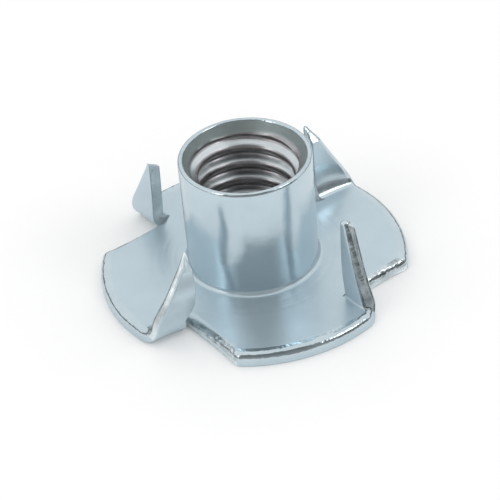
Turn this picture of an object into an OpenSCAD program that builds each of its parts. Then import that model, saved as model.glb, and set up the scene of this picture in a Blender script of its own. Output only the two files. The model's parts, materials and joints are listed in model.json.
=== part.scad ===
// Tee nut with four prongs, pressed from one piece of steel sheet.
// The flat face of the flange lies on the plane Z = 0, the barrel stands up along +Z,
// and the Z axis is the axis of the threaded bore.

/* [Flange] */
// Diameter of the round blank that the flange is cut from
flange_d = 22.2; // [20:0.2:26]
// Thickness of the steel sheet
sheet_t = 1; // [0.8:0.05:1.2]
// Radius of the rolled edge that the press leaves on the barrel side of the sheet
edge_roll = 0.5; // [0.2:0.05:0.6]
// Rounding of the free corner of each lobe
lobe_corner_r = 0.7; // [0.4:0.1:1.2]

/* [Barrel] */
// Height from the flat face to the mouth of the barrel
overall_h = 9.75; // [8:0.05:16]
// Outside diameter of the barrel
barrel_d = 9.4; // [9.2:0.05:10]
// Radius where the barrel runs into the flange
root_r = 0.35; // [0.2:0.05:0.8]
// Rounding of the outer edge of the lip
lip_r = 0.2; // [0.1:0.02:0.24]

/* [Bore] */
// Diameter over the crests of the thread
bore_d = 6.7; // [6.4:0.05:6.9]
// Diameter over the roots of the thread
thread_d = 7.94; // [7.6:0.02:8.1]
// Diameter of the flared mouth at the lip
mouth_d = 8.6; // [8.2:0.05:8.8]
// Depth of the flared mouth
mouth_depth = 0.85; // [0.5:0.05:2]
// Lead-in radius of the bore at the flat face
entry_r = 0.9; // [0.5:0.05:1.2]

/* [Prongs] */
// Number of prongs around the barrel
prong_count = 4; // [3:1:4]
// Distance from the axis to the plane of a prong's inner face
fold_offset = 1.8; // [1.4:0.05:2.1]
// Inside radius of the fold at the foot of a prong
fold_r = 0.45; // [0.2:0.05:0.7]
// Distance from the axis to the inner edge of a prong, along its fold
prong_start = 7.5; // [7:0.05:8]
// Length of the straight stretch of the slit that frees a prong
slit_straight = 2.8; // [2.2:0.1:4]
// Radius of the outer stretch of the slit
slit_flare_r = 30; // [16:0.5:40]
// Radius of the outer edge of a prong
prong_back_r = 26; // [18:0.5:34]
// Lean of a prong's outer edge at its foot, in degrees
prong_back_lean = 23; // [19:1:27]
// Height taken off the sharp corner at the tip of a prong
tip_blunt = 0.2; // [0.1:0.05:0.6]
// Drop of the chisel tip from a prong's outer face to its inner face
tip_bevel = 0.7; // [0.4:0.05:1.2]

/* [Hidden] */
$fn = 96;

flange_r = flange_d / 2;
barrel_r = barrel_d / 2;
bore_r = bore_d / 2;
thread_r = thread_d / 2;
mouth_r = mouth_d / 2;
mouth_floor = overall_h - mouth_depth;

// Line on the blank where the fold of a prong begins
fold_start = fold_offset - fold_r;
// Share of the sheet's thickness, from the inside of a fold, that keeps its length
neutral_share = 0.4;
// Width of the strip of the blank that goes into the fold
fold_strip = (fold_r + neutral_share * sheet_t) * PI / 2;
fold_end = fold_start + fold_strip;
// Height where a fold ends and the flat of the prong begins
prong_foot = sheet_t + fold_r;
// Plane of the prong's outer face
prong_outside = fold_offset + sheet_t;
slit_bend = fold_start + slit_straight;
flare_centre = [prong_start + slit_flare_r, slit_bend];
reach = 2 * flange_d;
// Strip in the core of the sheet that carries the flange on into a fold, and the fold into its prong
core_t = sheet_t / 2;
core_lap = sheet_t / 5;
core_length = (flange_r - prong_start) / 4;

// Where a circle about the origin meets one about a point c, on the counterclockwise side
function meet(r0, c, r1) =
    let (gap = norm(c))
    let (along = (gap ^ 2 + r0 ^ 2 - r1 ^ 2) / (2 * gap))
    let (across = sqrt(r0 ^ 2 - along ^ 2))
    (along * c + across * [-c.y, c.x]) / gap;

// Foot of a prong's outer edge, where the rim of the flange runs up into it
prong_heel = [sqrt(flange_r ^ 2 - fold_offset ^ 2), fold_end];
back_centre = prong_heel - prong_back_r * [cos(prong_back_lean), sin(prong_back_lean)];
// Sharp corner of the slit and the outer edge, above the tip of the prong
tip_corner = back_centre + meet(prong_back_r, flare_centre - back_centre, slit_flare_r);
prong_top = prong_foot + tip_corner.y - fold_end - tip_blunt;
// Centre of the rounding at the free corner of a lobe
corner_centre = meet(flange_r - lobe_corner_r, flare_centre, slit_flare_r + lobe_corner_r);
corner_reach = 4 * lobe_corner_r;

// Concave sliver between two edges that meet at a right angle
module inside_corner(r) {
    difference() {
        square(r);
        translate([r, r]) circle(r);
    }
}

// Half section of the barrel, the flange and the bore
module half_section() {
    difference() {
        union() {
            square([flange_r, sheet_t]);
            square([barrel_r, overall_h]);
            translate([barrel_r, sheet_t]) inside_corner(root_r);
        }
        translate([flange_r, sheet_t]) rotate(180) inside_corner(edge_roll);
        translate([barrel_r, overall_h]) rotate(180) inside_corner(lip_r);
        square([bore_r, overall_h]);
        polygon([
            [0, overall_h],
            [mouth_r, overall_h],
            [thread_r, mouth_floor],
            [bore_r, mouth_floor + bore_r - thread_r],
            [0, mouth_floor + bore_r - thread_r]
        ]);
        translate([bore_r, 0]) inside_corner(entry_r);
    }
}

// The tongue that one slit frees from the blank, with its fold along +X
module tongue_outline() {
    translate([prong_start, fold_start]) square([reach, slit_straight]);
    intersection() {
        translate(flare_centre) circle(slit_flare_r);
        translate([0, slit_bend]) square(reach);
    }
}

// The waste outside the rounded free corner of the lobe beyond a slit
module corner_waste() {
    to_rim = corner_centre / norm(corner_centre);
    to_slit = (flare_centre - corner_centre) / norm(flare_centre - corner_centre);
    difference() {
        polygon([
            corner_centre,
            corner_centre + corner_reach * to_rim,
            corner_centre + corner_reach * (to_rim + to_slit),
            corner_centre + corner_reach * to_slit
        ]);
        translate(corner_centre) circle(lobe_corner_r);
    }
}

// Gap left in the flange where a tongue was bent up
module tongue_gap() {
    translate([0, 0, -sheet_t]) linear_extrude(3 * sheet_t) {
        tongue_outline();
        corner_waste();
    }
}

// Quarter-round fold between the flange and a prong
module fold() {
    length = flange_r - prong_start;
    intersection() {
        translate([prong_start, fold_start, prong_foot])
            rotate([0, 90, 0])
                rotate_extrude(angle = 90)
                    polygon([
                        [fold_r, 0],
                        [fold_r + sheet_t, 0],
                        [fold_r + sheet_t, length],
                        [fold_r + edge_roll, length],
                        [fold_r, length - edge_roll]
                    ]);
        cylinder(r = flange_r, h = prong_foot);
    }
}

// Core strips across the two ends of a fold, which keep the sheet whole there at every size
module fold_core() {
    depth = (sheet_t - core_t) / 2;
    translate([prong_start + core_length, fold_start - core_lap, depth])
        cube([core_length, 2 * core_lap, core_t]);
    translate([prong_start + core_length, fold_offset + depth, prong_foot - core_lap])
        cube([core_length, core_t, 2 * core_lap]);
}

// Disc of sheet with a rolled edge, which gives a prong its outer edge
module prong_disc() {
    rotate_extrude()
        difference() {
            square([prong_back_r, sheet_t]);
            translate([prong_back_r, sheet_t]) rotate(180) inside_corner(edge_roll);
        }
}

// Upright prong with its chisel tip: the tongue beyond its fold, turned up about the fold
module prong() {
    intersection() {
        translate([0, prong_outside, prong_foot - fold_end])
            rotate([90, 0, 0])
                intersection() {
                    translate(back_centre) prong_disc();
                    linear_extrude(sheet_t) tongue_outline();
                }
        rotate([90, 0, 90])
            linear_extrude(flange_r)
                polygon([
                    [fold_offset, prong_foot],
                    [prong_outside, prong_foot],
                    [prong_outside, prong_top],
                    [fold_offset, prong_top - tip_bevel]
                ]);
        cylinder(r = flange_r, h = overall_h);
    }
}

// The whole nut
module tee_nut() {
    color([0.74, 0.80, 0.83]) {
        difference() {
            rotate_extrude() half_section();
            for (i = [0 : prong_count - 1]) rotate(i * 360 / prong_count) tongue_gap();
        }
        for (i = [0 : prong_count - 1]) rotate(i * 360 / prong_count) {
            fold();
            fold_core();
            prong();
        }
    }
}

tee_nut();
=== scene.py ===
"""Tee nut with four prongs, in bright zinc plate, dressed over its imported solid.

One welded skin of the same form replaces the solid. It adds the helix of the thread, the rolled rim, the
sheared edges of the slits and the small marks that the press leaves. Sizes are in millimetres until the
skin is built, and then in metres.
"""
import json
import logging
import math
from dataclasses import dataclass, field
from enum import Enum

import bmesh
import bpy
import numpy as np
from mathutils import Matrix, Vector, noise


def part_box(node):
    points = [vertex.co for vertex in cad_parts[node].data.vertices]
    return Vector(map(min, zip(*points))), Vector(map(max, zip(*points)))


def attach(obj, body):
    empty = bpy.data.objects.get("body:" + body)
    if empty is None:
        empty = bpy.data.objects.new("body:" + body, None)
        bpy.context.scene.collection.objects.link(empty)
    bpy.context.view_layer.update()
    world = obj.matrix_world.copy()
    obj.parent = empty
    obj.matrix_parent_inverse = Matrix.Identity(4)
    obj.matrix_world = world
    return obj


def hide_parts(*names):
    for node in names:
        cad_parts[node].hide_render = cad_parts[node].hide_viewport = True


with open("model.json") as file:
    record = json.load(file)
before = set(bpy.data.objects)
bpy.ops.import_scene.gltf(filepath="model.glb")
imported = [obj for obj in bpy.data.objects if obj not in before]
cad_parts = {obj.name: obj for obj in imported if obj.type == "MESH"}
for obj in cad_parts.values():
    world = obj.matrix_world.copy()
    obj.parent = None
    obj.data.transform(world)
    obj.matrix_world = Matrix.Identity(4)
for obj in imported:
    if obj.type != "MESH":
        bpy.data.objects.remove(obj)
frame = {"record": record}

LOG = logging.getLogger("tee_nut")
MM = 0.001
NODE = "tee_nut"
PRONG_COUNT = 4
QUARTER = 360.0 / PRONG_COUNT
FLANGE_RADIUS = 11.1
THREAD_ROOT_RADIUS = 3.97


class Finish(Enum):
    """Surfaces of the nut that differ in finish, in the order of the skin's material slots."""

    FACE = 0
    BARREL = 1
    SHEAR = 2
    # Painted light: lighter tint on the thread's upward flanks
    THREAD = 3
    RIM = 4
    # Painted shade: dark tint for the prongs' outer edges
    WORN = 5
    BURR = 6
    # Painted shade: darker tint in the flared mouth
    MOUTH = 7
    # Painted shade: darker tint inside the thread
    ROOT = 8


def polar(angle: np.ndarray | float) -> np.ndarray:
    """Gives the unit vector at an angle.

    Args:
        angle: Angle from +X, in degrees.

    Returns:
        Unit vectors, with x and y along the last axis.
    """
    turn = np.radians(angle)
    return np.stack([np.cos(turn), np.sin(turn)], axis=-1)


def rounding(distance: np.ndarray, radius: np.ndarray | float) -> np.ndarray:
    """Gives how far a quarter-round edge has dropped below its flat face.

    Args:
        distance: Distance in from the edge.
        radius: Radius of the rounding there.

    Returns:
        Drop below the face, which is the radius at the edge and nothing beyond the rounding.
    """
    short = np.clip(radius - distance, 0.0, None)
    return radius - np.sqrt(np.clip(radius**2 - short**2, 0.0, None))


def smooth_step(value: np.ndarray, low: float, high: float) -> np.ndarray:
    """Gives a smooth ramp from 0 at low to 1 at high."""
    share = np.clip((value - low) / (high - low), 0.0, 1.0)
    return share * share * (3.0 - 2.0 * share)


def fade_ends(count: int) -> np.ndarray:
    """Gives weights that rise from 0 at both ends of a row of points to 1 between them."""
    return np.clip(np.sin(np.linspace(0.0, math.pi, count)), 0.0, 1.0) ** 0.5


def degrees_of(point: np.ndarray) -> float:
    """Gives the angle of a point from +X, in degrees."""
    return math.degrees(math.atan2(point[1], point[0]))


def arc_points(centre: tuple[float, float], radius: float, start: float, end: float, steps: int) -> list:
    """Lists the points of an arc in the half section.

    Args:
        centre: Distance from the axis and height of the arc's centre.
        radius: Radius of the arc.
        start: First angle in degrees.
        end: Last angle in degrees.
        steps: Number of steps along the arc.

    Returns:
        Pairs of distance from the axis and height.
    """
    angles = np.linspace(start, end, steps + 1)
    return [tuple(np.array(centre) + radius * polar(a)) for a in angles]


def turned(grid: np.ndarray, degrees: float) -> np.ndarray:
    """Turns a grid of points about the Z axis.

    Args:
        grid: Points, with x, y and z along the last axis.
        degrees: Angle of the turn.

    Returns:
        The turned points.
    """
    cos, sin = polar(degrees)
    x, y, z = grid[..., 0], grid[..., 1], grid[..., 2]
    return np.stack([cos * x - sin * y, sin * x + cos * y, z], axis=-1)


def turned_flat(point: np.ndarray, degrees: float) -> np.ndarray:
    """Turns a point of the plane about the origin."""
    return turned(np.array([*point, 0.0]), degrees)[:2]


class Skin:
    """One welded mesh, gathered grid by grid in millimetres."""

    WELD_MM = 2e-5
    CREASE_DEG = 42.0

    def __init__(self) -> None:
        """Starts with no points."""
        self._points: list[np.ndarray] = []
        self._quads: list[np.ndarray] = []
        self._finish: list[np.ndarray] = []
        self._count = 0

    def add(self, grid: np.ndarray, finish: Finish) -> None:
        """Adds a grid of points with a quad in each cell.

        Args:
            grid: Points as rows by columns by x, y and z.
            finish: Finish of its faces.
        """
        rows, columns = grid.shape[:2]
        index = self._count + np.arange(rows * columns).reshape(rows, columns)
        quads = np.stack([index[:-1, :-1], index[:-1, 1:], index[1:, 1:], index[1:, :-1]], axis=-1)
        self._points.append(grid.reshape(-1, 3))
        self._quads.append(quads.reshape(-1, 4))
        self._finish.append(np.full((rows - 1) * (columns - 1), finish.value))
        self._count += rows * columns

    def wall(self, upper: np.ndarray, lower: np.ndarray, steps: int, finish: Finish,
             profile: np.ndarray | None = None, push: np.ndarray | None = None) -> None:
        """Adds the wall between two edges that have the same number of points.

        Args:
            upper: Points of one edge.
            lower: Points of the other edge.
            steps: Number of rows of faces between them.
            finish: Finish of the wall.
            profile: Share of the push for each row of points, where the wall isn't flat.
            push: Vector at each point of the edge that moves the wall between the edges.
        """
        share = np.linspace(0.0, 1.0, steps + 1)[:, None, None]
        grid = upper[None] * (1.0 - share) + lower[None] * share
        if profile is not None:
            grid = grid + profile[:, None, None] * push[None]
        self.add(grid, finish)

    def weld(self, name: str, burr: "Burr") -> bpy.types.Object:
        """Joins the grids into one closed mesh and roughens its sheared edges.

        Args:
            name: Name of the piece.
            burr: Roughness of the sheared edges.

        Returns:
            The object, linked to the scene.
        """
        mesh = bpy.data.meshes.new(name)
        points = np.concatenate(self._points) * MM
        mesh.from_pydata(points.tolist(), [], np.concatenate(self._quads).tolist())
        mesh.polygons.foreach_set("material_index", np.concatenate(self._finish).astype(np.int32))
        shell = bmesh.new()
        shell.from_mesh(mesh)
        bmesh.ops.remove_doubles(shell, verts=shell.verts, dist=self.WELD_MM * MM)
        bmesh.ops.recalc_face_normals(shell, faces=shell.faces)
        shell.normal_update()
        burr.roughen(shell)
        shell.to_mesh(mesh)
        shell.free()
        mesh.shade_smooth()
        mesh.set_sharp_from_angle(angle=math.radians(self.CREASE_DEG))
        piece = bpy.data.objects.new(name, mesh)
        bpy.context.scene.collection.objects.link(piece)
        return piece


@dataclass(frozen=True)
class Burr:
    """Roughness that the shears leave on the cut edges."""

    depth: float = 0.03
    pitch: float = 0.35
    seed: Vector = field(default_factory=lambda: Vector((3.1, 7.7, 1.9)))

    def roughen(self, shell: bmesh.types.BMesh) -> None:
        """Moves the points of the sheared faces in and out by a smooth noise.

        Args:
            shell: Mesh in metres, with its normals up to date.
        """
        for point in shell.verts:
            faces = point.link_faces
            cut = sum(face.material_index == Finish.SHEAR.value for face in faces) / len(faces)
            if cut:
                wave = noise.noise(point.co / (self.pitch * MM) + self.seed)
                point.co += point.normal * (wave * cut * self.depth * MM)


@dataclass(frozen=True)
class Sheet:
    """Blank of the flange, with the rounding that the press leaves on its edges."""

    radius: float
    thickness: float
    rim_roll: float = 0.5
    slit_roll: float = 0.16
    under_roll: float = 0.08
    tear_length: float = 0.5
    flare_radius: float = 30.0
    flare_start: float = 4.15
    corner_radius: float = 0.7
    fracture: float = 0.06
    fracture_starts: tuple[float, float] = (0.35, 0.5)
    fracture_ends: tuple[float, float] = (0.9, 1.0)
    wall_rows: int = 10

    def fracture_profile(self) -> np.ndarray:
        """Gives the share of the fracture's depth down a sheared wall, from its upper edge."""
        share = np.linspace(0.0, 1.0, self.wall_rows + 1)
        return smooth_step(share, *self.fracture_starts) * (1.0 - smooth_step(share, *self.fracture_ends))


@dataclass(frozen=True)
class Prong:
    """Tongue of the sheet folded up at one slit, in its own frame: s along the fold and n across it.

    The fields give where this prong differs from its neighbours, as the press left it.
    """

    sheet: Sheet
    start: float = 7.5
    foot: float = 0.4
    inset: float = 0.0
    flare: float = 0.0
    hollow: float = 0.0
    line: float = 1.35
    twist: float = 0.0
    lean: float = 0.0
    belly: float = 0.0
    taper: float = 0.1
    top: float = 6.8
    heel: float = 10.95
    bow: float = 0.2
    tip_width: float = 0.3
    tip_round: float = 0.16
    bevel_in: float = 0.7
    bevel_out: float = 0.0
    dome: float = 0.0
    fold_radius: float = 0.4
    rim_radius: float = 0.5
    opening: float = 2.0
    stretch: float = 1.0
    fold: Finish = Finish.FACE
    tip: Finish = Finish.FACE
    roll: Finish = Finish.RIM
    edge: Finish = Finish.SHEAR
    heel_blend: float = 0.4
    rim_until: float = 0.7
    roll_fade: float = 0.35
    roll_share: float = 0.45
    cut_share: float = 0.3
    tear_from: float = 0.3
    edge_rounds: int = 6
    roll_columns: int = 10
    fold_rows: int = 12
    blade_rows: int = 32

    @property
    def root(self) -> np.ndarray:
        """Inner end of the fold line, where the slit begins."""
        return np.array([self.start + self.foot, self.line])

    @property
    def way(self) -> np.ndarray:
        """Direction of the fold line."""
        return polar(self.twist)

    @property
    def side(self) -> np.ndarray:
        """Direction across the fold, away from the prong's own lobe."""
        return polar(self.twist + 90.0)

    @property
    def span(self) -> float:
        """Length of the fold line from its root to the rim."""
        return float(self.to_rim(np.zeros(1))[0])

    @property
    def shares(self) -> np.ndarray:
        """Places of the points along the fold line, from 0 at the root to 1 at the rim."""
        inner = np.array([0.0, 0.025, 0.06, 0.1, 0.15, 0.22, 0.32]) / self.span
        outer = np.array([0.8, 0.65, 0.52, 0.43, 0.34, 0.26, 0.19, 0.13, 0.08, 0.04, 0.012, 0.0]) / self.span
        middle = np.linspace(inner[-1], 1.0 - outer[0], 10)[1:-1]
        return np.concatenate([inner, middle, 1.0 - outer])

    @property
    def full_turn(self) -> float:
        """Angle of the whole fold, in radians."""
        return math.radians(90.0 + self.lean)

    def to_rim(self, across: np.ndarray) -> np.ndarray:
        """Gives the distance along the fold to the cylinder of the rim.

        Args:
            across: Places across the fold, in space.

        Returns:
            Distances along the fold from its root.
        """
        base = self.root + across[..., None] * self.side
        ahead = base @ self.way
        return np.sqrt(ahead**2 - np.sum(base**2, axis=-1) + self.sheet.radius**2) - ahead

    def bent(self, along: np.ndarray, turn: np.ndarray, climb: np.ndarray, end: float,
             level: np.ndarray) -> tuple[np.ndarray, np.ndarray]:
        """Bends points of the tongue up about the fold, which opens out towards the rim.

        Args:
            along: Places along the fold.
            turn: Share of the fold, from 0 at the flange to 1 at the foot of the blade.
            climb: Share of the way from the foot of the blade to its end.
            end: Height of the blade's end.
            level: Heights in the thickness of the sheet.

        Returns:
            Places across the fold and heights.
        """
        share = np.clip(along / self.span, 0.0, 1.0)
        inside = self.fold_radius + (self.rim_radius - self.fold_radius) * share**self.opening
        arm = inside + self.sheet.thickness - level
        rise = self.sheet.thickness + self.stretch * inside
        angle = self.full_turn * turn
        past = climb * (end - rise) / math.sin(self.full_turn)
        bulge = 16.0 * self.belly * climb**2 * (1.0 - climb) ** 2
        across = arm * np.sin(angle) + past * math.cos(self.full_turn) + bulge
        height = rise - (rise - level) * np.cos(angle) + past * math.sin(self.full_turn)
        return across, height

    def front_edge(self, turn: np.ndarray, climb: np.ndarray, end: float) -> np.ndarray:
        """Gives the edge on the slit's side, which is rounded off at the root.

        Args:
            turn: Share of the fold for each row.
            climb: Share of the blade for each row.
            end: Height of the blade's end.

        Returns:
            Places along the fold.
        """
        strip = self.fold_radius * self.full_turn * turn
        corner = np.sqrt(np.clip(strip / self.foot, 0.0, 1.0))
        height = self.rows_height(climb, end)
        blunt = rounding(self.top - height, self.tip_round)
        share = np.clip(self.up_the_blade(height), 0.0, 1.0)
        own = self.inset - self.foot + self.flare * share**2 + self.hollow * (1.0 - share) ** 4
        return own * (1.0 - (1.0 - corner) ** 2) + blunt

    @property
    def blade_foot(self) -> float:
        """Height of the blade's foot at the slit."""
        return self.sheet.thickness + self.stretch * self.fold_radius

    @property
    def heel_foot(self) -> float:
        """Height where the blade's outer edge leaves the rim."""
        return self.sheet.thickness + min(self.fold_radius, self.rim_radius)

    def rows_height(self, climb: np.ndarray, end: float) -> np.ndarray:
        """Gives the height of each row of the blade."""
        return self.blade_foot + climb * (end - self.blade_foot)

    def up_the_blade(self, height: np.ndarray) -> np.ndarray:
        """Gives the share of the way from the blade's foot to its top."""
        return (height - self.blade_foot) / (self.top - self.blade_foot)

    def back_edge(self, turn: np.ndarray, climb: np.ndarray, end: float, level: float) -> np.ndarray:
        """Gives the outer edge: the rim round the fold, then the bowed edge of the blade.

        Args:
            turn: Share of the fold for each row.
            climb: Share of the blade for each row.
            end: Height of the blade's end.
            level: Height in the thickness of the sheet.

        Returns:
            Places along the fold.
        """
        narrow = self.taper * (1.0 - level / self.sheet.thickness)
        tip = self.inset - self.foot + self.flare + self.tip_width - narrow
        heel = self.heel - self.root[0] - narrow
        along = np.full_like(turn, self.span)
        for _ in range(self.edge_rounds):
            across, height = self.bent(along, turn, climb, end, np.full_like(turn, level))
            share = (height - self.heel_foot) / (self.top - self.heel_foot)
            blade = heel + (tip - heel) * share + 4.0 * self.bow * share * (1.0 - share)
            rim = self.to_rim(across)
            mix = np.clip(0.5 + 0.5 * (blade - rim) / self.heel_blend, 0.0, 1.0)
            least = blade * (1.0 - mix) + rim * mix - self.heel_blend * mix * (1.0 - mix)
            along = rim + (least - rim) * smooth_step(turn, 0.0, self.rim_until)
        blunt = rounding(self.top - self.rows_height(climb, end), self.tip_round)
        return along - blunt * climb

    def face(self, upper: bool) -> np.ndarray:
        """Makes one face of the tongue, from the fold line to the tip.

        Args:
            upper: True for the face that turns in towards its own lobe.

        Returns:
            Points as rows up the prong by columns from the slit to the outer edge.
        """
        sheet = self.sheet
        end = self.top - (self.bevel_in if upper else self.bevel_out)
        rise = np.sin(np.linspace(0.0, 0.5 * math.pi, self.blade_rows + 1))[1:]
        turn = np.concatenate([np.linspace(0.0, 1.0, self.fold_rows + 1), np.ones(self.blade_rows)])
        climb = np.concatenate([np.zeros(self.fold_rows + 1), rise])
        level = sheet.thickness if upper else 0.0
        front = self.front_edge(turn, climb, end)
        back = self.back_edge(turn, climb, end, level)
        width = back - front
        along = front[:, None] + width[:, None] * self.shares[None]
        tear = smooth_step(turn, self.tear_from, 1.0)
        fade = sheet.rim_roll * (1.0 - self.roll_fade * climb)
        rim_roll = fade if upper else np.full_like(turn, sheet.under_roll)
        cut_roll = sheet.slit_roll if upper else sheet.under_roll
        rim_roll = np.minimum(rim_roll, self.roll_share * width)
        cut_roll = np.minimum(cut_roll, self.cut_share * width) * tear
        outer = rounding(back[:, None] - along, rim_roll[:, None])
        inner = rounding(along - front[:, None], cut_roll[:, None])
        drop = np.maximum(outer, inner)
        height = sheet.thickness - drop if upper else drop
        across, rise = self.bent(along, turn[:, None], climb[:, None], end, height)
        flat = self.root + along[..., None] * self.way + across[..., None] * self.side
        return np.concatenate([flat, rise[..., None]], axis=-1)

    def dress(self, skin: Skin, quarter: int) -> None:
        """Adds both faces, the sheared edges and the tip of the prong.

        Args:
            skin: Mesh that takes the faces.
            quarter: Number of quarter turns to the prong's place.
        """
        top, under = (turned(self.face(upper), quarter * QUARTER) for upper in (True, False))
        rows = self.sheet.wall_rows
        inward = turned(np.array([*self.way, 0.0]), quarter * QUARTER)
        push = self.sheet.fracture * fade_ends(len(top))[:, None] * inward
        profile = self.sheet.fracture_profile()
        foot = self.fold_rows // 2
        skin.add(top[: self.fold_rows + 1, : -self.roll_columns + 1], self.fold)
        skin.add(top[self.fold_rows :, : -self.roll_columns + 1], Finish.FACE)
        skin.add(top[: foot + 1, -self.roll_columns :], Finish.RIM)
        # Where self.roll or self.edge is the painted-shade edge finish, the faces below carry painted shade.
        skin.add(top[foot:, -self.roll_columns :], self.roll)
        skin.add(under, Finish.FACE)
        skin.wall(top[:, 0], under[:, 0], rows, Finish.SHEAR, profile, push)
        skin.wall(top[: foot + 1, -1], under[: foot + 1, -1], rows, Finish.FACE, profile, -push[: foot + 1])
        skin.wall(top[foot:, -1], under[foot:, -1], rows, self.edge, profile, -push[foot:])
        share = np.linspace(0.0, 1.0, rows + 1)
        lift = np.array([0.0, 0.0, self.dome]) * fade_ends(top.shape[1])[:, None]
        skin.wall(top[-1], under[-1], rows, self.tip, 4.0 * share * (1.0 - share), lift)


@dataclass(frozen=True)
class Lobe:
    """Quarter of the flange from one slit to the next fold, in the frame of the slit's own prong."""

    sheet: Sheet
    own: Prong
    after: Prong
    slit_roll: float = 0.6
    mark_radii: tuple[float, ...] = (5.75, 6.55, 7.2)
    mark_depth: float = 0.01
    mark_width: float = 0.1
    base_radius: float = 6.8
    base_slope: float = 1.5
    root_columns: int = 8
    slit_columns: int = 22
    corner_columns: int = 8
    rim_columns: int = 36
    hub_rows: int = 18

    @property
    def flare_centre(self) -> np.ndarray:
        """Centre of the slit's outer arc."""
        return np.array([self.own.start + self.sheet.flare_radius, self.sheet.flare_start])

    @property
    def corner_centre(self) -> np.ndarray:
        """Centre of the rounding at the lobe's free corner."""
        centre = self.flare_centre
        gap = float(np.linalg.norm(centre))
        inner = self.sheet.radius - self.sheet.corner_radius
        outer = self.sheet.flare_radius + self.sheet.corner_radius
        along = (gap**2 + inner**2 - outer**2) / (2.0 * gap)
        across = math.sqrt(inner**2 - along**2)
        return (along * centre + across * np.array([-centre[1], centre[0]])) / gap

    def edge(self) -> np.ndarray:
        """Gives the edge of the lobe: the slit's rounded root, the slit, the free corner and the rim.

        Returns:
            Points of the plane, from this slit's root to the end of the next fold.
        """
        own, sheet = self.own, self.sheet
        share = np.linspace(0.0, 1.0, self.root_columns, endpoint=False)[:, None]
        bend = np.array([own.start, own.line])
        out = bend + np.array([0.0, own.foot])
        root = (1.0 - share) ** 2 * own.root + 2.0 * share * (1.0 - share) * bend + share**2 * out
        centre = self.corner_centre
        to_slit = self.flare_centre - centre
        leave = centre + sheet.corner_radius * to_slit / np.linalg.norm(to_slit)
        across = np.linspace(out[1], leave[1], self.slit_columns, endpoint=False)
        past = np.clip(across - sheet.flare_start, 0.0, None)
        along = own.start + sheet.flare_radius - np.sqrt(sheet.flare_radius**2 - past**2)
        first, last = degrees_of(to_slit), degrees_of(centre)
        corner = centre + sheet.corner_radius * polar(
            np.linspace(first, last, self.corner_columns, endpoint=False)
        )
        end = turned_flat(self.after.root + self.after.span * self.after.way, QUARTER)
        rim = sheet.radius * polar(np.linspace(last, degrees_of(end), self.rim_columns + 1))
        return np.concatenate([root, np.stack([along, across], axis=-1), corner, rim])

    def hub_angles(self) -> np.ndarray:
        """Gives the angles of the columns at the hub, from this slit's root to the next.

        Returns:
            Angles in degrees, one for each point of the edge.
        """
        edge = np.degrees(np.arctan2(*self.edge().T[::-1]))
        last = degrees_of(self.after.root) + QUARTER
        return edge[0] + (edge - edge[0]) * (last - edge[0]) / (edge[-1] - edge[0])

    def edge_roll(self) -> np.ndarray:
        """Gives the rounding of the upper edge, which grows from nothing at the slit's root.

        Returns:
            Radii, one for each point of the edge.
        """
        sheet = self.sheet
        edge = self.edge()
        run = np.concatenate([[0.0], np.cumsum(np.linalg.norm(np.diff(edge, axis=0), axis=1))])
        cut = self.slit_roll * smooth_step(run, 0.0, 2.0 * sheet.tear_length)
        leave = self.root_columns + self.slit_columns
        corner = smooth_step(np.arange(len(edge)), leave - 2.0, leave + self.corner_columns + 1.0)
        return cut + (sheet.rim_roll - cut) * corner

    def base(self) -> np.ndarray:
        """Gives where the rows of the hub end, clear of both slits' roots.

        Returns:
            Distances from the axis, one for each point of the edge.
        """
        edge = self.edge()
        here, there = (float(np.linalg.norm(prong.root)) for prong in (self.own, self.after))
        run = np.linalg.norm(edge - edge[0], axis=1)
        angles = self.hub_angles()
        left = np.radians(angles[-1] - angles) * there
        return np.maximum(self.base_radius, np.maximum(here - self.base_slope * run, there - left))

    def marks(self, distance: np.ndarray) -> np.ndarray:
        """Gives the depth of the ring marks that the draw die leaves round the barrel."""
        rings = [np.exp(-(((distance - r) / self.mark_width) ** 2)) for r in self.mark_radii]
        return self.mark_depth * np.sum(rings, axis=0)

    def face(self, hub_radius: float, upper: bool) -> np.ndarray:
        """Makes one face of the lobe.

        Args:
            hub_radius: Distance from the axis where the face begins.
            upper: True for the barrel's side of the sheet.

        Returns:
            Points as rows from the hub to the edge by columns round the axis.
        """
        sheet = self.sheet
        shares = self.after.shares
        hub = polar(self.hub_angles())
        base = hub * self.base()[:, None]
        edge = self.edge()
        inner = np.linspace(0.0, 1.0, self.hub_rows, endpoint=False)[:, None, None]
        flat = np.concatenate([
            hub * hub_radius * (1.0 - inner) + base * inner,
            base * (1.0 - shares[:, None, None]) + edge * shares[:, None, None],
        ])
        way = np.gradient(edge, axis=0)
        way /= np.linalg.norm(way, axis=1, keepdims=True)
        reach = edge - base
        square = np.abs(reach[:, 0] * way[:, 1] - reach[:, 1] * way[:, 0])
        length = np.linalg.norm(reach, axis=1)
        on_rim = np.arange(len(edge)) >= self.root_columns + self.slit_columns + self.corner_columns
        depth = np.where(on_rim, length, square)
        inward = np.concatenate([
            np.full((self.hub_rows, len(length)), sheet.radius),
            (1.0 - shares)[:, None] * depth[None],
        ])
        roll = self.edge_roll()
        if upper:
            height = sheet.thickness - rounding(inward, roll)
            height = height - self.marks(np.linalg.norm(flat, axis=-1))
        else:
            height = rounding(inward, np.minimum(roll, sheet.under_roll))
        return np.concatenate([flat, height[..., None]], axis=-1)

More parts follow.
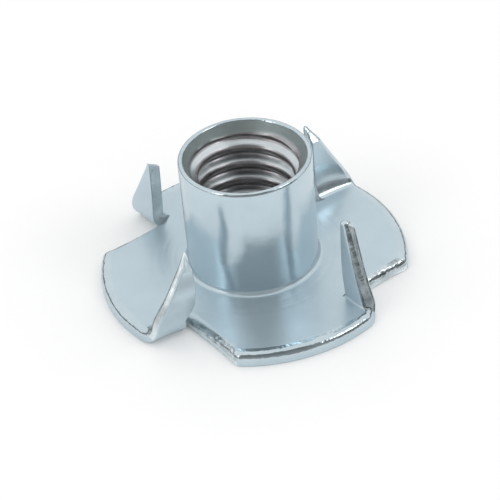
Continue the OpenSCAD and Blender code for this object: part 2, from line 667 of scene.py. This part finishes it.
    def dress(self, skin: Skin, quarter: int, upper_hub: float, lower_hub: float) -> None:
        """Adds both faces of the lobe and the edge between them.

        Args:
            skin: Mesh that takes the faces.
            quarter: Number of quarter turns to the lobe's place.
            upper_hub: Distance from the axis where the upper face begins.
            lower_hub: Distance from the axis where the lower face begins.
        """
        degrees = quarter * QUARTER
        top = turned(self.face(upper_hub, True), degrees)
        under = turned(self.face(lower_hub, False), degrees)
        cut = self.root_columns + self.slit_columns + self.corner_columns // 2
        rows = self.sheet.wall_rows
        inward = turned(np.array([-1.0, 0.0, 0.0]), degrees)
        push = self.sheet.fracture * fade_ends(cut + 1)[:, None] * inward
        edge_rows = self.after.roll_columns
        skin.add(top[: -edge_rows + 1], Finish.FACE)
        skin.add(top[-edge_rows:, : cut + 1], Finish.BURR)
        skin.add(top[-edge_rows:, cut:], Finish.RIM)
        skin.add(under, Finish.FACE)
        skin.wall(top[-1, : cut + 1], under[-1, : cut + 1], rows, Finish.SHEAR,
                  self.sheet.fracture_profile(), push)
        skin.wall(top[-1, cut:], under[-1, cut:], rows, Finish.FACE)


@dataclass(frozen=True)
class Barrel:
    """Drawn barrel: its root, outside wall, lip and flared mouth, turned about the axis."""

    radius: float
    height: float
    thickness: float
    root_roll: float = 0.35
    lip_roll: float = 0.2
    mouth_radius: float = 4.3
    mouth_roll: float = 0.18
    mouth_turn: float = 165.0
    mouth_depth: float = 0.85
    root_rows: int = 8
    wall_rows: int = 14
    lip_rows: int = 6
    mouth_rows: int = 5
    cone_rows: int = 4

    @property
    def root_radius(self) -> float:
        """Distance from the axis where the root meets the flange."""
        return self.radius + self.root_roll

    def section(self, thread_radius: float) -> tuple[list, list, list, list]:
        """Lists the half section in four stretches: the root, the wall, the lip and the flared mouth.

        Args:
            thread_radius: Distance from the axis to the foot of the flared mouth.

        Returns:
            For each stretch, pairs of distance from the axis and height.
        """
        foot = self.thickness + self.root_roll
        shoulder = self.height - self.lip_roll
        root = arc_points((self.root_radius, foot), self.root_roll, 270.0, 180.0, self.root_rows)
        wall = [(self.radius, z) for z in np.linspace(foot, shoulder, self.wall_rows + 1)[1:-1]]
        lip_centre = (self.radius - self.lip_roll, shoulder)
        lip = arc_points(lip_centre, self.lip_roll, 0.0, 90.0, self.lip_rows)
        mouth_centre = (self.mouth_radius + self.mouth_roll, self.height - self.mouth_roll)
        mouth = arc_points(mouth_centre, self.mouth_roll, 90.0, self.mouth_turn, self.mouth_rows)
        floor = self.height - self.mouth_depth
        last = mouth[-1]
        cone = [
            (last[0] + (thread_radius - last[0]) * k, last[1] + (floor - last[1]) * k)
            for k in np.linspace(0.0, 1.0, self.cone_rows + 1)[1:]
        ]
        return root, root[-1:] + wall + lip[:1], lip + mouth, mouth[-1:] + cone

    def dress(self, skin: Skin, angles: np.ndarray, thread_radius: float) -> None:
        """Adds the barrel's surfaces.

        Args:
            skin: Mesh that takes the faces.
            angles: Angles of the columns, in degrees, with the first repeated a full turn later.
            thread_radius: Distance from the axis to the foot of the flared mouth.
        """
        # The flared mouth takes the painted-shade finish.
        finishes = (Finish.FACE, Finish.BARREL, Finish.RIM, Finish.MOUTH)
        for stretch, finish in zip(self.section(thread_radius), finishes):
            section = np.array(stretch)
            ring = polar(angles)[None] * section[:, 0, None, None]
            height = np.broadcast_to(section[:, 1, None, None], ring.shape[:2] + (1,))
            skin.add(np.concatenate([ring, height], axis=-1), finish)


@dataclass(frozen=True)
class ThreadedBore:
    """Right-hand thread in the barrel, with its lead-in at the flat face and its run-out at the mouth."""

    crest_radius: float
    root_radius: float
    top: float
    pitch: float = 1.411
    crest_angle: float = 143.5
    crest_height: float = 6.5
    entry_roll: float = 0.9
    crest_share: float = 0.36
    root_share: float = 0.3
    crown: float = 0.2
    flank_rows: int = 3
    flat_rows: int = 6
    entry_rows: int = 5

    @property
    def entry_radius(self) -> float:
        """Distance from the axis where the lead-in meets the flat face."""
        return self.crest_radius + self.entry_roll

    @property
    def entry_floor(self) -> float:
        """Height where the lead-in is as wide as the roots of the thread."""
        gap = self.entry_radius - self.root_radius
        return self.entry_roll - math.sqrt(self.entry_roll**2 - gap**2)

    def profile(self) -> tuple[np.ndarray, np.ndarray]:
        """Gives one pitch of the thread.

        Returns:
            Places along the pitch, from 0 up to but not including 1, and the radius at each.
        """
        flank = 0.5 * (1.0 - self.crest_share - self.root_share)
        knots = np.cumsum([0.0, self.crest_share, flank, self.root_share, flank])
        depth = self.root_radius - self.crest_radius
        place, radius = [], []
        for part, rows in enumerate((self.flat_rows, self.flank_rows, self.flat_rows, self.flank_rows)):
            share = np.linspace(0.0, 1.0, rows, endpoint=False)
            bulge = self.crown * (2.0 * share - 1.0) ** 2
            shape = (bulge, share, 1.0 - bulge, 1.0 - share)[part]
            if part in (1, 3):
                shape = self.crown + (1.0 - 2.0 * self.crown) * shape
            place.append(knots[part] + (knots[part + 1] - knots[part]) * share)
            radius.append(self.crest_radius + depth * shape)
        return np.concatenate(place), np.concatenate(radius)

    def dress(self, skin: Skin, angles: np.ndarray) -> None:
        """Adds the thread and its lead-in.

        Args:
            skin: Mesh that takes the faces.
            angles: Angles of the columns, in degrees, with the first repeated a full turn later.
        """
        place, radius = self.profile()
        low, high = self.entry_floor, self.top
        turns = math.ceil((high - low) / self.pitch) + 2
        rows = np.concatenate([place + turn for turn in range(-1, turns)] + [[float(turns)]])
        wall = np.append(np.tile(radius, turns + 1), radius[0])[:, None]
        first = (self.crest_height - low) / self.pitch - 0.5 * self.crest_share
        lead = (angles - self.crest_angle) / 360.0 + first % 1.0 - 1.0
        height = np.clip(low + self.pitch * (rows[:, None] + lead[None]), low, high)
        under = np.clip(self.entry_roll - height, 0.0, None)
        entry = self.entry_radius - np.sqrt(self.entry_roll**2 - under**2)
        run_out = self.root_radius - (high - height)
        reach = np.maximum(np.maximum(wall, entry), run_out)
        ring = polar(angles)[None] * reach[..., None]
        grid = np.concatenate([ring, height[..., None]], axis=-1)
        ends = np.cumsum([self.flat_rows, self.flank_rows, self.flat_rows, self.flank_rows])
        for turn in range(turns + 1):
            # Painted light and shade: only the upward flanks take the lighter thread finish; crests, roots
            # and downward flanks take the darker painted-shade one.
            for part, finish in enumerate((Finish.ROOT, Finish.THREAD, Finish.ROOT, Finish.ROOT)):
                last = turn * len(place) + ends[part]
                first = turn * len(place) + (ends[part - 1] if part else 0)
                skin.add(grid[first : last + 1], finish)
        levels = np.linspace(low, 0.0, self.entry_rows + 1)
        reach = self.entry_radius - np.sqrt(self.entry_roll**2 - (self.entry_roll - levels) ** 2)
        ring = polar(angles)[None] * reach[:, None, None]
        height = np.broadcast_to(levels[:, None, None], ring.shape[:2] + (1,))
        skin.add(np.concatenate([ring, height], axis=-1), Finish.FACE)


@dataclass(frozen=True)
class ZincPlate:
    """Bright zinc plate with the soft mottle, fine grain and slight waviness of a pressed part."""

    name: str
    tint: tuple[float, float, float]
    shade: tuple[float, float, float]
    roughness: tuple[float, float]
    metal: float = 1.0
    mottle_mm: float = 2.2
    grain_mm: float = 0.12
    grain: float = 0.04
    wave_mm: float = 3.0
    wave: float = 0.05
    mottle_range: tuple[float, float] = (0.3, 0.6)
    gloss_range: tuple[float, float] = (0.3, 0.7)

    def material(self) -> bpy.types.Material:
        """Makes the material of this finish.

        Returns:
            The material, with procedural nodes only.
        """
        plate = bpy.data.materials.new(self.name)
        plate.use_nodes = True
        nodes = plate.node_tree.nodes
        links = plate.node_tree.links
        shader = nodes["Principled BSDF"]
        shader.inputs["Metallic"].default_value = self.metal
        place = nodes.new("ShaderNodeTexCoord").outputs["Object"]

        def cloud(size_mm: float, detail: float) -> bpy.types.NodeSocket:
            """Adds a noise with features of about this size and gives its value."""
            node = nodes.new("ShaderNodeTexNoise")
            node.inputs["Scale"].default_value = 1.0 / (size_mm * MM)
            node.inputs["Detail"].default_value = detail
            links.new(place, node.inputs["Vector"])
            return node.outputs["Fac"]

        def spread(value: bpy.types.NodeSocket, source: tuple[float, float],
                   target: tuple[float, float]) -> bpy.types.NodeSocket:
            """Adds a map from one range of values to another and gives its result."""
            node = nodes.new("ShaderNodeMapRange")
            for name, number in zip(("From Min", "From Max", "To Min", "To Max"), (*source, *target)):
                node.inputs[name].default_value = number
            links.new(value, node.inputs["Value"])
            return node.outputs["Result"]

        colour = nodes.new("ShaderNodeMix")
        colour.data_type = "RGBA"
        colour.inputs["A"].default_value = (*self.shade, 1.0)
        colour.inputs["B"].default_value = (*self.tint, 1.0)
        mottle = spread(cloud(self.mottle_mm, 4.0), self.mottle_range, (0.0, 1.0))
        links.new(mottle, colour.inputs["Factor"])
        links.new(colour.outputs["Result"], shader.inputs["Base Color"])
        gloss = spread(cloud(self.grain_mm * 4.0, 3.0), self.gloss_range, self.roughness)
        links.new(gloss, shader.inputs["Roughness"])
        normal = None
        for size_mm, depth in ((self.wave_mm, self.wave), (self.grain_mm, self.grain)):
            bump = nodes.new("ShaderNodeBump")
            bump.inputs["Strength"].default_value = 1.0
            bump.inputs["Distance"].default_value = depth * size_mm * MM
            links.new(cloud(size_mm, 2.0), bump.inputs["Height"])
            if normal is not None:
                links.new(normal, bump.inputs["Normal"])
            normal = bump.outputs["Normal"]
        links.new(normal, shader.inputs["Normal"])
        return plate


FINISHES = {
    Finish.FACE: ZincPlate(
        "bright_zinc_face", (0.53, 0.636, 0.694), (0.50, 0.606, 0.664), (0.3, 0.34), metal=0.7, grain=0.0,
        wave=0.012
    ),
    Finish.BARREL: ZincPlate(
        "bright_zinc_barrel", (0.545, 0.652, 0.708), (0.515, 0.622, 0.678), (0.17, 0.23), metal=0.88,
        wave=0.02
    ),
    Finish.SHEAR: ZincPlate(
        "sheared_zinc_edge", (0.76, 0.84, 0.87), (0.48, 0.54, 0.56), (0.26, 0.38), metal=0.4, grain=0.1,
        wave_mm=0.6, wave=0.08
    ),
    # Painted light: this lighter tint goes only on the thread's upward flanks, the lit copy beside the
    # painted-shade thread finish.
    Finish.THREAD: ZincPlate(
        "painted_light_thread_flank", (0.64, 0.69, 0.71), (0.50, 0.54, 0.56), (0.28, 0.36), grain=0.02, wave_mm=1.2,
        wave=0.03
    ),
    Finish.RIM: ZincPlate(
        "bright_zinc_rim", (0.56, 0.655, 0.70), (0.50, 0.595, 0.64), (0.12, 0.18), metal=0.95, wave_mm=0.6,
        wave=0.08
    ),
    # Painted shade: this dark tint stands in for the dark reflections and shade along two prongs' rolled
    # outer edges.
    Finish.WORN: ZincPlate(
        "painted_shade_prong_edge", (0.32, 0.37, 0.39), (0.15, 0.18, 0.19), (0.16, 0.26), metal=0.95, mottle_mm=0.7,
        wave_mm=0.5, wave=0.1
    ),
    Finish.BURR: ZincPlate(
        "burred_slit_edge", (0.62, 0.70, 0.74), (0.30, 0.35, 0.37), (0.12, 0.2), metal=0.95, mottle_mm=0.6,
        wave_mm=0.5, wave=0.16
    ),
    # Painted shade: this darker, greyer tint on the flared mouth stands in for the shade inside the barrel's
    # opening.
    Finish.MOUTH: ZincPlate(
        "painted_shade_flared_mouth", (0.43, 0.49, 0.49), (0.36, 0.42, 0.42), (0.4, 0.48), metal=0.85, wave_mm=1.2,
        wave=0.03
    ),
    # Painted shade: this darker, warmer tint on the thread's crests, roots and downward flanks stands in for
    # the shade inside the bore.
    Finish.ROOT: ZincPlate(
        "painted_shade_thread_root", (0.44, 0.44, 0.455), (0.30, 0.28, 0.285), (0.28, 0.36), metal=0.9, mottle_mm=1.2,
        wave_mm=1.2, wave=0.03
    ),
}


@dataclass(frozen=True)
class TeeNut:
    """The whole nut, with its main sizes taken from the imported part."""

    bore: ThreadedBore
    barrel: Barrel
    prongs: tuple[Prong, ...]
    lobes: tuple[Lobe, ...]

    @staticmethod
    def pressed_prongs(sheet: Sheet) -> tuple[Prong, ...]:
        """Gives the four prongs with the place, lean, fold and tip that the press left each of them.

        Args:
            sheet: Sheet that they are folded from.

        Returns:
            The prongs in the order of their quarter turns.
        """
        # The front right prong's rolled outer edge and outer wall take the painted-shade edge finish.
        front_right = Prong(
            sheet, start=8.05, foot=0.04, inset=-0.25, flare=0.2, hollow=0.35, line=1.35, twist=-2.0,
            taper=0.25, top=7.8, heel=10.4, bow=-0.05, tip_width=0.4, bevel_in=0.5, bevel_out=1.1,
            dome=0.4, fold_radius=0.15, rim_radius=0.9, opening=5.0, heel_blend=0.8, tip=Finish.RIM,
            roll=Finish.WORN, edge=Finish.WORN
        )
        back_right = Prong(
            sheet, start=7.6, foot=0.5, inset=0.15, line=1.25, twist=-5.0, top=6.6, heel=11.05,
            bow=-0.05, tip_width=0.4, bevel_in=1.0, fold_radius=0.95, rim_radius=0.35, stretch=2.5,
            heel_blend=0.25, fold=Finish.BARREL, tip=Finish.RIM
        )
        back_left = Prong(
            sheet, start=7.9, foot=0.15, flare=-0.15, hollow=0.2, line=1.5, top=6.55, heel=10.98,
            bow=0.0, tip_width=0.25, bevel_in=0.8
        )
        # The front left prong's rolled outer edge takes the painted-shade edge finish.
        front_left = Prong(
            sheet, start=7.8, foot=0.3, inset=-0.7, hollow=0.9, line=1.5, twist=-15.0, lean=1.0,
            belly=0.4, top=6.3, heel=10.75, bow=0.15, tip_width=0.15, bevel_in=0.0, bevel_out=0.85,
            fold_radius=0.3, rim_radius=1.05, heel_blend=0.8, roll=Finish.WORN
        )
        return front_right, back_right, back_left, front_left

    @classmethod
    def from_frame(cls) -> "TeeNut":
        """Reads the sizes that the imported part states.

        Returns:
            The nut built from them.
        """
        mounts = {mount["name"]: mount for mount in frame["record"]["mounts"]}
        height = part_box(NODE)[1][2] / MM
        thickness = mounts["timber_face"]["pos_m"][2] / MM
        barrel = Barrel(mounts["barrel"]["dims"]["r_mm"], height, thickness)
        crest_radius = mounts["thread"]["dims"]["r_mm"]
        bore = ThreadedBore(crest_radius, THREAD_ROOT_RADIUS, height - barrel.mouth_depth)
        sheet = Sheet(FLANGE_RADIUS, thickness)
        prongs = cls.pressed_prongs(sheet)
        lobes = tuple(
            Lobe(sheet, prongs[k], prongs[(k + 1) % PRONG_COUNT]) for k in range(PRONG_COUNT)
        )
        return cls(bore, barrel, prongs, lobes)

    def build(self) -> bpy.types.Object:
        """Builds the skin, dresses it and puts it in the place of the solid.

        Returns:
            The finished piece.
        """
        skin = Skin()
        quarters = [lobe.hub_angles()[:-1] + k * QUARTER for k, lobe in enumerate(self.lobes)]
        angles = np.concatenate(quarters + [quarters[0][:1] + 360.0])
        for number, (lobe, prong) in enumerate(zip(self.lobes, self.prongs)):
            lobe.dress(skin, number, self.barrel.root_radius, self.bore.entry_radius)
            prong.dress(skin, number)
        self.barrel.dress(skin, angles, self.bore.root_radius)
        self.bore.dress(skin, angles)
        piece = skin.weld("tee_nut_skin", Burr())
        for finish in Finish:
            piece.data.materials.append(FINISHES[finish].material())
        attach(piece, "root")
        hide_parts(NODE)
        return piece


@dataclass(frozen=True)
class Studio:
    """White table, soft light and the camera at the photograph's viewing angle."""

    azimuth: float = 53.5
    elevation: float = 38.176
    roll: float = -5.274
    distance: float = 135.13
    aim_right: float = -0.3264
    aim_up: float = 1.0416
    focal_px: float = 1865.643
    picture_px: float = 500.0
    sensor: float = 36.0
    card_radius: float = 0.4
    card_left: float = -45.0
    card_right: float = 50.0
    card_high: float = 68.0
    side_right: float = 80.0
    side_foot: float = 0.03
    side_high: float = 34.0
    horizon_high: float = 14.0
    card_foot: float = 0.028
    card_lift: float = 0.0003
    front_shades: tuple[float, float] = (0.36, 0.14)
    side_shades: tuple[float, float] = (0.2, 0.14)
    horizon_shades: tuple[float, float] = (0.2, 0.2)
    table_half: float = 2.0
    table_grey: float = 0.93
    table_roughness: float = 0.9
    lamp_distance: float = 0.45
    lamp_size: float = 0.12
    lamp_rise: float = 38.0
    left_turn: float = -52.0
    left_power: float = 0.15
    right_turn: float = 66.0
    right_power: float = 0.18

    def axes(self) -> tuple[Vector, Vector, Vector]:
        """Gives the camera's own directions.

        Returns:
            Its right, up and back directions.
        """
        rise = math.radians(self.elevation)
        back = Vector((0.0, -math.cos(rise), math.sin(rise)))
        right = Vector((1.0, 0.0, 0.0))
        up = back.cross(right)
        roll = math.radians(self.roll)
        tilted_right = math.cos(roll) * right + math.sin(roll) * up
        tilted_up = -math.sin(roll) * right + math.cos(roll) * up
        spin = Matrix.Rotation(math.radians(self.azimuth), 3, "Z")
        return spin @ tilted_right, spin @ tilted_up, spin @ back

    def camera(self) -> None:
        """Makes the camera and sets it as the scene's own."""
        right, up, back = self.axes()
        lens = bpy.data.cameras.new("camera")
        lens.sensor_width = self.sensor
        lens.lens = self.focal_px / self.picture_px * self.sensor
        lens.clip_start = MM
        camera = bpy.data.objects.new("camera", lens)
        place = (right * self.aim_right + up * self.aim_up + back * self.distance) * MM
        camera.matrix_world = Matrix.Translation(place) @ Matrix((right, up, back)).transposed().to_4x4()
        bpy.context.scene.collection.objects.link(camera)
        bpy.context.scene.camera = camera

    def table(self) -> None:
        """Makes the white table that the nut stands on."""
        half = self.table_half
        mesh = bpy.data.meshes.new("table")
        corners = [(-half, -half, 0.0), (half, -half, 0.0), (half, half, 0.0), (-half, half, 0.0)]
        mesh.from_pydata(corners, [], [(0, 1, 2, 3)])
        table = bpy.data.objects.new("table", mesh)
        bpy.context.scene.collection.objects.link(table)
        white = bpy.data.materials.new("white_table")
        white.use_nodes = True
        shader = white.node_tree.nodes["Principled BSDF"]
        shader.inputs["Base Color"].default_value = (self.table_grey,) * 3 + (1.0,)
        shader.inputs["Roughness"].default_value = self.table_roughness
        table.data.materials.append(white)

    def toward(self, turn: float, rise: float) -> Vector:
        """Gives a direction by its angle round from the camera and its height, in degrees."""
        flat = polar(self.azimuth - 90.0 + turn) * math.cos(math.radians(rise))
        return Vector((flat[0], flat[1], math.sin(math.radians(rise))))

    def card(self, name: str, turns: np.ndarray, rises: np.ndarray, shades: tuple[float, float],
             lies_from: float | None = None) -> None:
        """Makes a curved grey card round the table, which the bright edges show as their dark bands.

        Args:
            name: Name of the card.
            turns: Angles round from the camera, in degrees.
            rises: Heights of its rows, in degrees.
            shades: Grey at the lower and at the upper edge.
            lies_from: Distance from the axis of a stretch that lies on the table, in metres.
        """
        lift = Vector((0.0, 0.0, self.card_lift))
        rows = [[self.toward(turn, rise) * self.card_radius + lift for turn in turns] for rise in rises]
        if lies_from is not None:
            rows.insert(0, [self.toward(turn, 0.0) * lies_from + lift for turn in turns])
        points = [point for row in rows for point in row]
        wide = len(turns)
        quads = [
            (row * wide + k, row * wide + k + 1, (row + 1) * wide + k + 1, (row + 1) * wide + k)
            for row in range(len(rows) - 1)
            for k in range(wide - 1)
        ]
        mesh = bpy.data.meshes.new(name)
        mesh.from_pydata(points, [], quads)
        card = bpy.data.objects.new(name, mesh)
        bpy.context.scene.collection.objects.link(card)
        card.visible_camera = False
        card.visible_diffuse = False
        card.visible_shadow = False
        grey = bpy.data.materials.new(name)
        grey.use_nodes = True
        nodes, links = grey.node_tree.nodes, grey.node_tree.links
        shader = nodes["Principled BSDF"]
        shader.inputs["Roughness"].default_value = 1.0
        shader.inputs["Specular IOR Level"].default_value = 0.0
        split = nodes.new("ShaderNodeSeparateXYZ")
        links.new(nodes.new("ShaderNodeTexCoord").outputs["Generated"], split.inputs["Vector"])
        tone = nodes.new("ShaderNodeMix")
        tone.data_type = "RGBA"
        for socket, shade in zip("AB", shades):
            tone.inputs[socket].default_value = (shade, shade, shade, 1.0)
        links.new(split.outputs["Z"], tone.inputs["Factor"])
        links.new(tone.outputs["Result"], shader.inputs["Base Color"])
        card.data.materials.append(grey)

    def lamp(self, name: str, turn: float, power: float) -> None:
        """Makes a soft square lamp that faces the nut.

        Args:
            name: Name of the lamp.
            turn: Angle round from the camera, in degrees.
            power: Power in watts.
        """
        light = bpy.data.lights.new(name, "AREA")
        light.size = self.lamp_size
        light.energy = power
        lamp = bpy.data.objects.new(name, light)
        place = self.toward(turn, self.lamp_rise) * self.lamp_distance
        facing = place.to_track_quat("Z", "Y").to_matrix().to_4x4()
        lamp.matrix_world = Matrix.Translation(place) @ facing
        bpy.context.scene.collection.objects.link(lamp)

    def sky(self) -> None:
        """Makes the plain white surroundings."""
        world = bpy.data.worlds.new("white_room")
        world.use_nodes = True
        shader = world.node_tree.nodes["Background"]
        shader.inputs["Color"].default_value = (1.0, 1.0, 1.0, 1.0)
        shader.inputs["Strength"].default_value = 1.0
        bpy.context.scene.world = world

    def build(self) -> None:
        """Sets the table, the light and the camera."""
        bpy.context.scene.view_settings.view_transform = "Standard"
        self.sky()
        self.table()
        front = np.linspace(self.card_left, self.card_right, 21)
        side = np.linspace(self.card_right, self.side_right, 9)
        back = np.linspace(self.side_right, self.card_left + 360.0, 41)
        front_rises = np.linspace(0.0, self.card_high, 18)
        side_rises = np.linspace(0.0, self.side_high, 8)
        back_rises = np.linspace(0.0, self.horizon_high, 4)
        self.card("front_card", front, front_rises, self.front_shades, self.card_foot)
        self.card("side_card", side, side_rises, self.side_shades, self.side_foot)
        self.card("horizon_card", back, back_rises, self.horizon_shades)
        self.lamp("left_lamp", self.left_turn, self.left_power)
        self.lamp("right_lamp", self.right_turn, self.right_power)
        self.camera()


def main() -> None:
    """Builds the nut and its studio."""
    logging.basicConfig(level=logging.INFO, format="%(name)s: %(message)s")
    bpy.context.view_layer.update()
    piece = TeeNut.from_frame().build()
    LOG.info("%s: %d faces", piece.name, len(piece.data.polygons))
    Studio().build()


if __name__ == "__main__":
    main()
